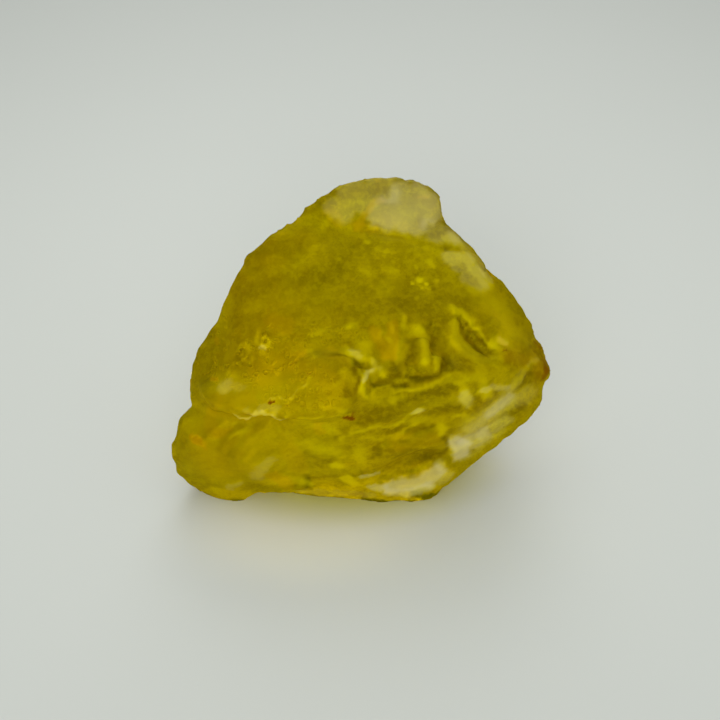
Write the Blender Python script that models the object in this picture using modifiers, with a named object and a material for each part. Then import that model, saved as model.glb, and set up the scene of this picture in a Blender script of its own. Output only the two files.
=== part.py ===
"""A small piece of Libyan desert glass, modelled as one closed solid.

The glass is one natural piece, and is built the way such a piece comes about: first the
blocky lump with its fin, foot and plate, then the shell-shaped scars where flakes broke
away, then the wear of wind and sand, and last the flat that it rests on.

Sizes are millimetres until they reach the mesh: x to the right, y to the back, z up from
the resting flat.
"""

import math

import bpy
import bmesh
from mathutils import Euler, Vector

NODE_NAME = "desert_glass"
MM = 0.001

# ------------------------------------------------------------------ the unworn lumps
# Each lump is the convex hull of its corners.

LUMPS = {
    "body": {
        "left edge": (
            (-5.2, 3.0, 19.8), (-6.9, 2.0, 19.2), (-8.8, 1.0, 17.9), (-10.1, 0.0, 15.8),
            (-12.1, -2.2, 12.4), (-13.0, -3.2, 10.8), (-13.3, -4.6, 8.6),
        ),
        "right edge": (
            (6.7, 4.7, 18.6), (7.8, 4.0, 18.5), (9.1, 3.2, 17.2), (11.2, 1.6, 15.4),
            (13.6, -1.0, 12.7), (14.5, -2.9, 11.3), (14.8, -4.0, 10.7),
        ),
        "edge under the tip": (
            (14.1, -4.6, 8.5), (13.5, -5.0, 7.6), (12.1, -5.2, 5.8), (8.3, -5.6, 2.1), (6.9, -5.7, 0.7),
        ),
        "front ridge": (
            (-9.6, -7.6, 9.8), (-5.0, -8.6, 10.8), (0.5, -8.8, 11.4), (4.4, -8.4, 12.2),
            (7.0, -7.7, 13.0), (11.3, -5.9, 12.6),
        ),
        "belly": ((-3.5, -8.4, 6.4), (3.0, -8.3, 6.8), (8.0, -7.2, 7.6)),
        "base": (
            (5.0, -6.6, -0.4), (2.0, -6.6, -0.4), (-2.4, -5.5, -0.4), (-9.5, -5.2, -0.4),
            (-9.5, 3.5, -0.4), (-3.5, 8.0, -0.4), (4.0, 7.6, -0.4), (8.0, 2.5, -0.4),
        ),
        "back": (
            (-11.8, 2.0, 7.0), (-7.0, 7.8, 6.5), (-6.5, 6.8, 14.0), (0.5, 10.0, 6.5),
            (1.5, 9.4, 13.5), (8.5, 7.4, 8.0), (8.0, 7.0, 13.5), (12.6, 1.5, 8.5),
        ),
    },
    "fin": {
        "edge": (
            (-5.0, 3.2, 19.8), (-4.3, 3.8, 20.4), (-2.4, 5.0, 21.6), (-0.7, 5.8, 21.9),
            (2.8, 6.4, 22.2), (4.8, 6.3, 21.8), (5.8, 6.1, 21.3), (6.4, 5.8, 20.6), (6.6, 5.1, 19.0),
        ),
        "foot": ((-5.5, 1.8, 18.2), (0.5, 1.4, 17.0), (6.8, 4.0, 17.4), (1.0, 9.6, 13.0)),
        "back": ((-4.0, 7.0, 18.5), (1.0, 8.8, 19.4), (5.5, 8.4, 18.5)),
    },
    "heel": {
        "outer edge": ((-13.9, -5.4, 7.4), (-14.9, -5.8, 4.9), (-14.5, -5.6, 1.9), (-12.7, -5.6, -0.2)),
        "front": (
            (-12.2, -8.0, 6.8), (-8.5, -8.7, 5.8), (-4.0, -8.2, 6.2), (-4.8, -7.0, 1.2),
            (-11.2, -6.7, -0.2), (-9.7, -5.8, -0.4),
        ),
        "root": ((-7.0, -8.4, 8.6), (-11.5, -1.0, 7.0), (-11.0, -1.5, -0.4), (-4.0, -2.0, 4.0)),
    },
    "plate": {
        "ledge": (
            (-11.5, -7.5, 9.9), (-9.3, -8.6, 10.2), (-7.0, -9.1, 10.6), (-5.6, -9.4, 10.4),
            (-1.1, -9.6, 10.4),
        ),
        "right end": ((0.1, -9.2, 12.1), (0.9, -8.4, 13.2), (-0.2, -7.2, 14.1), (-1.2, -6.6, 14.2)),
        "top": ((-12.6, -4.6, 10.2), (-9.4, -5.0, 12.2), (-5.0, -5.4, 13.3)),
        "root": ((-9.0, -4.0, 7.0), (-1.0, -5.0, 7.0)),
    },
}

# ------------------------------------------------------------------ the flake scars
# Each is a long ball pressed into the glass: the two ends of its core and its radius.

SCARS = {
    "scar behind the fin": ((-2.0, 14.0, 22.6), (5.5, 13.6, 22.0), 6.3),
    "scar down the back": ((2.5, 15.6, 6.5), (4.5, 15.4, 10.5), 7.6),
    "scar on the back left": ((-12.6, 11.6, 13.0), (-10.6, 12.2, 8.5), 7.8),
    "chip at the foot of the back": ((-4.5, 11.0, -0.5), (-2.0, 11.4, -0.8), 4.4),
    "scar behind the right shoulder": ((17.0, 8.5, 14.5), (14.0, 11.0, 15.5), 7.6),
    "scar under the right edge": ((14.0, 1.6, -1.5), (14.0, 6.0, -0.5), 8.6),
    "scar under the front foot": ((3.0, -2.6, -2.6), (6.6, -2.2, -2.4), 3.6),
    "gap between the feet": ((-7.2, -8.0, -1.2), (-7.2, -3.0, -1.6), 1.9),
    "nick at the waist": ((-14.6, -7.0, 9.1), (-14.6, -1.0, 9.3), 0.9),
    "scoop over the ridge": ((2.6, -7.5, 16.0), (5.6, -7.1, 15.9), 3.4),
    "dish around the hollow": ((8.3, -4.8, 17.3), (10.3, -6.2, 16.3), 3.4),
    "hollow": ((7.8, -3.2, 14.3), (9.9, -5.3, 13.1), 0.6),
    "upper flow groove": ((0.6, -10.4, 7.0), (8.0, -9.3, 9.8), 2.4),
    "lower flow groove": ((0.4, -9.6, 2.6), (7.6, -8.7, 5.0), 2.4),
}

# Blocks left standing on the scoop's floor: middle, size and how far each is turned.
BLOCKS = {
    "block": ((4.2, -6.0, 13.1), (1.8, 3.0, 1.9), (34.0, 4.0, -4.0)),
    "small block": ((6.0, -7.0, 12.7), (0.9, 1.4, 1.5), (34.0, 0.0, -8.0)),
}

# ------------------------------------------------------------------ wear
WORN_OFF = 0.07
VOXEL = 0.36
WEAR_PASSES = 4
LUMPS_HEIGHT, LUMPS_WIDTH = 0.30, 4.0
RIPPLE_HEIGHT, RIPPLE_WIDTH = 0.10, 1.9
TRIANGLES = 8600
BENCH_SIZE = 60.0


def clear_scene():
    for old in list(bpy.data.objects):
        bpy.data.objects.remove(old, do_unlink=True)


def new_collection(name):
    made = bpy.data.collections.new(name)
    bpy.context.scene.collection.children.link(made)
    return made


def object_from(shape, name, collection):
    """A new object that holds the bmesh's faces."""
    mesh = bpy.data.meshes.new(name)
    shape.to_mesh(mesh)
    shape.free()
    made = bpy.data.objects.new(name, mesh)
    collection.objects.link(made)
    return made


def hull(name, corners, collection):
    """The convex hull of a lump's corners."""
    shape = bmesh.new()
    for group in corners.values():
        for corner in group:
            shape.verts.new(Vector(corner) * MM)
    made = bmesh.ops.convex_hull(shape, input=shape.verts)
    inside = {v for v in made["geom_interior"] + made["geom_unused"] if isinstance(v, bmesh.types.BMVert)}
    bmesh.ops.delete(shape, geom=list(inside), context="VERTS")
    bmesh.ops.recalc_face_normals(shape, faces=shape.faces)
    return object_from(shape, name, collection)


def long_ball(name, start, end, radius, collection):
    """A ball drawn out between two points, for a scar that is longer than it is wide."""
    start, end = Vector(start) * MM, Vector(end) * MM
    radius = radius * MM
    shape = bmesh.new()
    bmesh.ops.create_icosphere(shape, subdivisions=5, radius=radius)
    bmesh.ops.scale(shape, vec=(1, 1, 1 + (end - start).length / (2 * radius)), verts=shape.verts)
    turn = (end - start).to_track_quat("Z", "Y").to_matrix()
    bmesh.ops.rotate(shape, matrix=turn, verts=shape.verts)
    bmesh.ops.translate(shape, vec=(start + end) / 2, verts=shape.verts)
    return object_from(shape, name, collection)


def box(name, middle, size, turn, collection):
    shape = bmesh.new()
    bmesh.ops.create_cube(shape, size=MM)
    bmesh.ops.scale(shape, vec=size, verts=shape.verts)
    angles = Euler([math.radians(a) for a in turn])
    bmesh.ops.rotate(shape, matrix=angles.to_matrix(), verts=shape.verts)
    bmesh.ops.translate(shape, vec=Vector(middle) * MM, verts=shape.verts)
    return object_from(shape, name, collection)


def boolean(target, other, operation):
    """Joins or cuts the target with a helper, which moves along with the target."""
    other.hide_render = True
    other.display_type = "WIRE"
    other.parent = target
    modifier = target.modifiers.new(other.name, "BOOLEAN")
    modifier.operation = operation
    modifier.solver = "EXACT"
    modifier.object = other


def displace(target, name, height, width):
    """Raises and lowers the surface in soft lumps of that height and width."""
    texture = bpy.data.textures.new(name, "CLOUDS")
    texture.noise_scale = width * MM
    texture.noise_depth = 1
    modifier = target.modifiers.new(name, "DISPLACE")
    modifier.texture = texture
    modifier.strength = 2 * height * MM
    modifier.mid_level = 0.5
    modifier.texture_coords = "LOCAL"


def wear(target):
    """Rounds the edges as wind and sand do, and thins the mesh where it is even."""
    swell = target.modifiers.new("glass that wears off", "DISPLACE")
    swell.strength = WORN_OFF * MM
    swell.mid_level = 0.0
    even = target.modifiers.new("even mesh", "REMESH")
    even.mode = "VOXEL"
    even.voxel_size = VOXEL * MM
    rounding = target.modifiers.new("rounding", "SMOOTH")
    rounding.factor = 0.5
    rounding.iterations = WEAR_PASSES
    displace(target, "lumps", LUMPS_HEIGHT, LUMPS_WIDTH)
    displace(target, "ripples", RIPPLE_HEIGHT, RIPPLE_WIDTH)


def thin(target, count):
    """Thins the mesh to about that many triangles."""
    faces = evaluated(target).data
    faces.calc_loop_triangles()
    modifier = target.modifiers.new("thinning", "DECIMATE")
    modifier.ratio = count / len(faces.loop_triangles)
    modifier.use_collapse_triangulate = True


def evaluated(target):
    bpy.context.view_layer.update()
    return target.evaluated_get(bpy.context.evaluated_depsgraph_get())


def bench(collection):
    """A block whose top is the plane that the glass rests on."""
    return box("bench", (0, 0, -BENCH_SIZE / 2), (BENCH_SIZE,) * 3, (0, 0, 0), collection)


def stand_on_origin(target):
    """Puts the middle of the piece's underside at the origin."""
    corners = [Vector(c) for c in evaluated(target).bound_box]
    low = [min(c[i] for c in corners) for i in range(3)]
    high = [max(c[i] for c in corners) for i in range(3)]
    target.location = (-(low[0] + high[0]) / 2, -(low[1] + high[1]) / 2, -low[2])


def glass_material():
    made = bpy.data.materials.new("desert glass")
    made.use_nodes = True
    shader = made.node_tree.nodes["Principled BSDF"]
    shader.inputs["Base Color"].default_value = (0.31, 0.24, 0.01, 1.0)
    shader.inputs["Roughness"].default_value = 0.45
    shader.inputs["Metallic"].default_value = 0.0
    shader.inputs["IOR"].default_value = 1.46
    return made


def build():
    clear_scene()
    parts = new_collection("desert glass fragment")
    helpers = new_collection("lumps and cutters")
    glass = hull(NODE_NAME, LUMPS["body"], parts)
    for name in ("fin", "heel", "plate"):
        boolean(glass, hull(name, LUMPS[name], helpers), "UNION")
    for name, (start, end, radius) in SCARS.items():
        boolean(glass, long_ball(name, start, end, radius, helpers), "DIFFERENCE")
    for name, (middle, size, turn) in BLOCKS.items():
        boolean(glass, box(name, middle, size, turn, helpers), "UNION")
    wear(glass)
    thin(glass, TRIANGLES)
    boolean(glass, bench(helpers), "DIFFERENCE")
    stand_on_origin(glass)
    glass.data.materials.append(glass_material())


build()
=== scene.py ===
"""Desert glass: a wind-worn fragment of clear yellow natural glass, on a pale floor."""

import math

import bmesh
import bpy
import numpy as np
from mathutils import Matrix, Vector, noise
from mathutils.bvhtree import BVHTree


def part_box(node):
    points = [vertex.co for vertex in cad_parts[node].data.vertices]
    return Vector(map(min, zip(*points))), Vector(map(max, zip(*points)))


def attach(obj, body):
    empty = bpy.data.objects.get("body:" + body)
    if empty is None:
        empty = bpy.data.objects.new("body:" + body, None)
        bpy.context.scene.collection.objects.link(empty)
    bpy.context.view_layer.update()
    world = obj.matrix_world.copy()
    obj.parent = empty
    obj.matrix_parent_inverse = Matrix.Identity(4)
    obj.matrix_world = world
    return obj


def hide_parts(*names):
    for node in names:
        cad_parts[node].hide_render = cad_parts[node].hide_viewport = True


bl_info = {
    "name": "Desert glass",
    "version": (1, 0, 0),
    "blender": (4, 5, 0),
    "location": "3D View > Sidebar > Desert Glass",
    "description": "A wind-worn fragment of yellow desert glass on a pale floor",
    "category": "Add Mesh",
}

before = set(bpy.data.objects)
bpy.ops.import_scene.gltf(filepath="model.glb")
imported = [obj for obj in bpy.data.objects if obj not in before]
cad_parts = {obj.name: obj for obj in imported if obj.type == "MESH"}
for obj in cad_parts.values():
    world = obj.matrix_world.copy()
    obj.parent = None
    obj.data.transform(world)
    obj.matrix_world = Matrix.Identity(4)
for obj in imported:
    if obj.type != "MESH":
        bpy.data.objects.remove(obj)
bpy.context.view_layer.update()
LOW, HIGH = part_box("desert_glass")
MM = 0.001

# The eye looks at the front of the fragment from above, along +Y.
EYE_TILT = math.radians(35.0)
EYE_AWAY = 112 * MM
EYE_AIM = Vector((0.0, 0.0, 9 * MM))
EYE_LINE = Vector((0.0, math.cos(EYE_TILT), -math.sin(EYE_TILT)))
EYE_UP = Vector((0.0, math.sin(EYE_TILT), math.cos(EYE_TILT)))
EYE = EYE_AIM - EYE_AWAY * EYE_LINE

# The way the glass once flowed: flow bands and streaks are drawn out along the first axis of this turn.
FLOW_TURN = (math.radians(-20), math.radians(28), math.radians(-6))

# How far a mark reaches, in half widths.
REACH = 2.6

# Marks on the front are set out on the plane through the fragment's middle that the eye sees square
# on: across and up from its middle, in steps of 0.08 mm. From there each is carried on to the glass
# along the line from the eye. A row is (half width in mm, strength, [places], [places], ...), with
# as many runs of places as share that width and strength.
STEP = 0.08

# Raised (+) and sunk (-) runs. The strength is a height in mm.
RELIEF = [
    (0.2, 0.07, [(-152, -48), (-138, -51), (-126, -54)], [(51, -89), (64, -88), (76, -88)]),
    (0.2, 0.06, [(-70, -60), (-50, -61), (-20, -60)], [(-64, -58), (-53, -59), (-42, -58), (-30, -58),
     (-18, -53)]),
    (0.2, 0.14, [(-124, -54), (-119, -58), (-113, -58), (-107, -56), (-103, -53), (-97, -52), (-88, -54),
     (-84, -58), (-79, -60), (-75, -58), (-72, -57)]),
    (0.3, -0.16, [(-122, -63), (-112, -64), (-103, -60), (-96, -58), (-88, -60), (-81, -66)]),
    (0.15, 0.09, [(-91, -39), (-83, -38), (-74, -41), (-68, -36), (-62, -31), (-54, -24), (-51, -14)]),
    (0.28, 0.16, [(-14, 7), (-5, 6), (1, 4)]), (0.26, 0.15, [(8, 2), (14, -3), (18, -8)]),
    (0.22, 0.18, [(14, -11), (8, -14), (3, -19)]), (0.24, 0.15, [(2, -21), (1, -27), (4, -33), (7, -39)]),
    (0.5, -0.16, [(-4, -3), (-3, -12), (-5, -21), (-8, -30)]), (0.2, -0.1, [(4, -6), (7, -9)]),
    (0.2, 0.15, [(14, -30), (24, -28), (34, -32), (42, -30), (50, -28)]),
    (0.34, 0.14, [(50, -28), (60, -27), (72, -22), (80, -19), (87, -13)]),
    (0.14, 0.07, [(18, -38), (28, -37), (36, -39), (44, -38)]),
    (0.5, -0.24, [(18, -20), (28, -22), (38, -24), (44, -24)]),
    (0.45, -0.22, [(52, -14), (64, -16), (74, -15), (82, -11)]),
    (0.16, 0.1, [(44, -18), (49, -21), (55, -23)]), (0.35, 0.12, [(32, 25), (33, 15), (34, 2)]),
    (0.14, 0.09, [(33, 36), (35, 29)]), (0.14, -0.08, [(26, 27), (28, 15)]),
    (0.38, -0.18, [(49, 23), (49, 12), (48, 2)]), (0.42, 0.22, [(63, 19), (64, 12), (65, 2)]),
    (0.24, 0.04, [(43, 31), (52, 33), (60, 33), (66, 29)]), (0.4, -0.25, [(73, 32), (74, 20), (73, 10)]),
    (0.3, 0.2, [(76, 3), (78, -3), (77, -8)]), (0.35, -0.2, [(84, 5), (85, -6)]),
    (0.24, 0.12, [(44, 43), (45, 36)], [(177, 0), (169, -6), (163, -17), (154, -23), (140, -26)]),
    (0.3, -0.3, [(101, 40), (103, 34)]), (0.5, -0.28, [(112, 24), (118, 18), (123, 12)]),
    (0.2, -0.12, [(125, 7), (131, 4), (137, 4)]), (0.5, 0.14, [(95, 38), (92, 29), (92, 20), (96, 12)]),
    (0.42, 0.11, [(100, 8), (108, 1), (116, -3), (122, -6)]), (0.12, 0.1, [(103, 31), (107, 34)]),
    (0.3, 0.18, [(88, 55), (96, 50), (103, 45), (109, 38)]),
    (0.2, 0.18, [(109, 38), (114, 32), (120, 28), (124, 20), (128, 13), (133, 9)]),
    (0.45, -0.12, [(124, 42), (128, 32), (131, 22)]),
    (0.14, 0.08, [(146, 8), (160, 8), (167, 14), (173, 18)], [(94, -24), (102, -21), (110, -18)]),
    (0.14, 0.1, [(87, -13), (92, -10), (98, -11), (104, -15), (110, -17)]),
    (0.18, 0.09, [(-8, -69), (5, -68), (20, -66), (35, -66), (45, -61), (51, -55), (58, -52)], [(-49, 26),
     (-42, 29), (-34, 28), (-27, 24), (-19, 18)]),
    (0.16, 0.08, [(0, -80), (12, -78), (24, -77), (38, -72), (48, -65)], [(44, -74), (54, -68), (66, -66),
     (73, -61)]),
    (0.16, 0.06, [(-20, -72), (-8, -74), (6, -73), (18, -73)], [(128, -31), (140, -29), (152, -28)]),
    (0.18, 0.07, [(25, -44), (37, -41), (50, -36), (66, -32), (84, -28)]),
    (0.18, -0.1, [(15, -98), (17, -88), (25, -81), (40, -79), (60, -81), (76, -84)]),
    (0.3, -0.12, [(87, -76), (90, -90), (84, -100)]),
    (0.25, 0.1, [(2, -126), (17, -121), (38, -115), (59, -111), (79, -100)]),
    (0.3, 0.08, [(12, -130), (31, -134), (52, -135), (70, -129)], [(-152, -76), (-142, -66), (-130, -60)],
     [(-90, -102), (-75, -90), (-60, -80), (-44, -74)]),
    (0.2, 0.08, [(110, -61), (122, -54), (134, -44), (146, -36)]),
    (0.2, -0.08, [(114, -70), (126, -68), (138, -60)], [(-34, 21), (-24, 19), (-15, 13)], [(-28, 28),
     (-18, 28), (-8, 29)]),
    (0.34, 0.11, [(-138, -90), (-132, -80), (-122, -70), (-108, -61)], [(-126, -99), (-115, -84),
     (-102, -72), (-90, -65)]), (0.34, 0.1, [(-110, -102), (-98, -87), (-84, -76), (-70, -68)]),
    (0.36, -0.1, [(-132, -92), (-120, -77), (-104, -66)], [(-118, -100), (-106, -86), (-94, -75)]),
    (0.3, -0.07, [(-84, -108), (-66, -96), (-48, -86)]),
    (0.24, -0.14, [(-166, -44), (-158, -45), (-150, -44)]),
    (0.26, 0.12, [(-22, 32), (-14, 36), (-6, 37), (1, 34)]),
    (0.16, -0.1, [(-17, 21), (-13, 18), (-10, 14)]), (0.22, -0.12, [(4, 36), (9, 32)]),
    (0.22, 0.1, [(-3, 133), (6, 135), (15, 135), (23, 132), (32, 128), (45, 127), (55, 121), (68, 117),
     (81, 114)]), (0.26, -0.1, [(2, 129), (16, 129), (32, 123), (48, 121), (60, 114)]),
    (0.18, -0.14, [(86, 110), (95, 112), (104, 110)]),
]

# The outline as the eye sees it: outward (+) and inward (-) shifts of the rim nearest each place, in mm.
OUTLINE = [
    (0.6, -0.22, [(-102, -132), (-88, -132), (-73, -132)]), (0.7, -0.28, [(178, -28)]),
    (0.7, 0.14, [(167, -62), (152, -75), (137, -87)], [(37, 182), (54, 179)], [(-189, -118), (-177, -130)]),
    (0.7, 0.24, [(-184, -96)]), (0.7, -0.24, [(-181, -73)]), (0.7, -0.2, [(-168, -46)]),
    (0.7, -0.22, [(-139, 41)], [(93, -122), (83, -130)]),
    (0.8, 0.08, [(-125, 82), (-108, 107), (-97, 117)]), (0.6, -0.24, [(-31, 164)]),
    (0.6, -0.12, [(0, 176)]), (0.5, -0.12, [(70, 169)], [(-144, 38)]),
    (0.5, -0.08, [(80, 149)], [(100, 121)], [(-178, -55)]),
    (0.5, 0.12, [(88, 134)], [(-54, 154)], [(-163, 10)]), (0.5, 0.08, [(112, 112)]),
    (0.7, -0.36, [(130, 88)]), (0.8, 0.2, [(154, 62), (162, 50), (170, 36)]), (0.6, -0.14, [(175, 28)]),
    (0.6, 0.24, [(182, 10)]), (0.5, -0.14, [(-80, 130)]), (0.5, -0.32, [(132, 86)]),
    (0.6, -0.16, [(-170, -28)]), (0.5, -0.1, [(181, -20)]), (0.14, 0.12, [(-81, 129)], [(-72, 135)]),
    (0.12, 0.12, [(-63, 142)]), (0.14, 0.1, [(-54, 152)]), (0.12, 0.1, [(-43, 161)], [(-33, 166)]),
    (0.12, 0.08, [(-20, 173)], [(6, 179)], [(20, 181)], [(36, 182)]),
]

# Creases that are worn soft.
CREASES = [
    (0.95, 1.0, [(-60, 8), (-45, 8), (-30, 7), (-15, 4), (-4, -3), (4, -14)]),
    (0.9, 1.0, [(42, 22), (52, 23), (62, 24), (70, 22)]),
    (0.6, 1.0, [(42, 22), (52, 25), (62, 25), (70, 23)], [(-165, -25), (-155, -45), (-140, -50),
     (-120, -54)], [(-124, -35), (-110, -50), (-90, -58), (-60, -60), (-30, -60), (-14, -56)], [(-60, -6),
     (-35, 0), (-15, 2), (0, -2), (12, -12), (18, -24)], [(12, -24), (6, -36), (0, -48), (-10, -56)]),
    (0.5, 1.0, [(-14, 8), (-8, 3), (0, 0), (8, -8)]),
]

# Round pits, each with a low rim: (radius in mm, depth in mm, [places]).
PITS = [
    (0.3, 0.13, [(-95, 18)]), (0.2, 0.07, [(-117, 15)]), (0.18, 0.06, [(-120, 7), (-114, 1)]),
    (0.16, 0.06, [(-109, 10)]), (0.16, 0.05, [(-124, 13)]), (0.14, 0.07, [(-125, -5)]),
    (0.16, 0.1, [(-90, -41)]), (0.1, 0.07, [(-74, -47)]), (0.12, 0.08, [(-51, -13)]),
    (0.12, 0.05, [(-144, -19), (-38, 69), (102, 34), (-90, -6), (-79, -12), (-151, -26)]),
    (0.1, 0.05, [(-49, 33)]), (0.14, 0.05, [(-60, 95), (-82, -1), (-138, 4), (-60, 6)]),
    (0.12, 0.06, [(144, 10)]), (0.12, 0.04, [(-112, 32), (-76, 23)]),
]

# Frosted, paler glass.
MILKY = [
    (0.9, 0.49, [(23, 154), (18, 144), (30, 138), (34, 154), (42, 170), (48, 154), (44, 136), (56, 134),
     (60, 150), (58, 168), (70, 158), (74, 146)]),
    (0.8, 0.34, [(68, 134), (76, 124), (84, 128), (92, 124)]),
    (0.9, 0.36, [(-26, 153), (-16, 147), (-10, 160), (-14, 166), (2, 170), (-2, 156), (6, 166), (14, 173),
     (26, 174), (30, 166)]), (1.5, 0.2, [(30, 146), (46, 146), (64, 150)]),
    (0.75, 0.32, [(89, 102), (99, 102), (107, 100), (98, 94), (109, 90), (118, 88), (108, 82), (120, 77)]),
    (0.4, 0.22, [(90, 127), (102, 116), (114, 103), (122, 93), (129, 81)]),
    (0.28, 0.18, [(141, 20), (146, 17)]), (0.34, 0.24, [(-8, 8), (-3, 5)]),
    (0.3, 0.14, [(14, -3), (19, -8)]), (0.24, 0.4, [(12, -11), (7, -15), (4, -18)]),
    (0.55, 0.24, [(-136, -28), (-133, -25)]), (0.4, 0.12, [(-123, -26), (-119, -28)]),
    (0.16, 0.3, [(-101, 13), (-96, 11.5)]),
    (0.17, 0.3, [(-124, -54), (-119, -58), (-113, -58), (-107, -56), (-103, -53), (-97, -52), (-88, -54),
     (-84, -58), (-79, -60), (-75, -58)]), (0.32, 0.14, [(-113, -50), (-109, -54)]),
    (0.28, 0.16, [(-100, -48), (-92, -47), (-83, -50)]),
    (0.1, 0.1, [(-91, -39), (-83, -38), (-74, -41), (-68, -36), (-62, -31), (-54, -24)]),
    (0.34, 0.36, [(56, -51), (60, -51)]), (0.55, 0.3, [(104, -36), (108, -42)]),
    (0.34, 0.32, [(126, -30), (136, -26), (146, -28)]), (0.5, 0.12, [(152, -27), (158, -20), (162, -14)]),
    (0.2, 0.1, [(168, -6), (176, 0)]), (1.05, 0.42, [(112, -70), (124, -61), (136, -50), (146, -40)]),
    (0.6, 0.3, [(122, -74), (136, -67), (146, -60)]), (0.8, 0.2, [(162, -40), (169, -33)]),
    (0.6, 0.4, [(130, -52), (140, -44), (148, -38)]), (0.75, 0.72, [(96, -82), (104, -87), (101, -94)]),
    (0.62, 0.4, [(106, -80), (114, -77), (122, -72), (126, -78), (116, -84)]),
    (0.42, 0.28, [(83, -121), (91, -115)]), (0.5, 0.15, [(106, -96), (120, -87), (132, -77), (142, -70)]),
    (0.4, 0.5, [(10, -127), (24, -127)]), (0.8, 0.62, [(32, -127), (48, -125), (64, -121), (77, -112)]),
    (0.5, 0.45, [(30, -132), (44, -133), (58, -131), (70, -125)]), (0.5, 0.25, [(80, -103), (83, -110)]),
    (0.55, 0.18, [(-103, -117), (-96, -106), (-90, -100)]), (0.34, 0.18, [(-130, -128), (-120, -124)]),
    (0.24, 0.45, [(0, -117), (8, -116), (17, -114)]),
    (0.5, 0.18, [(-60, -131), (-35, -133), (-10, -133), (12, -135)]),
]

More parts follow.
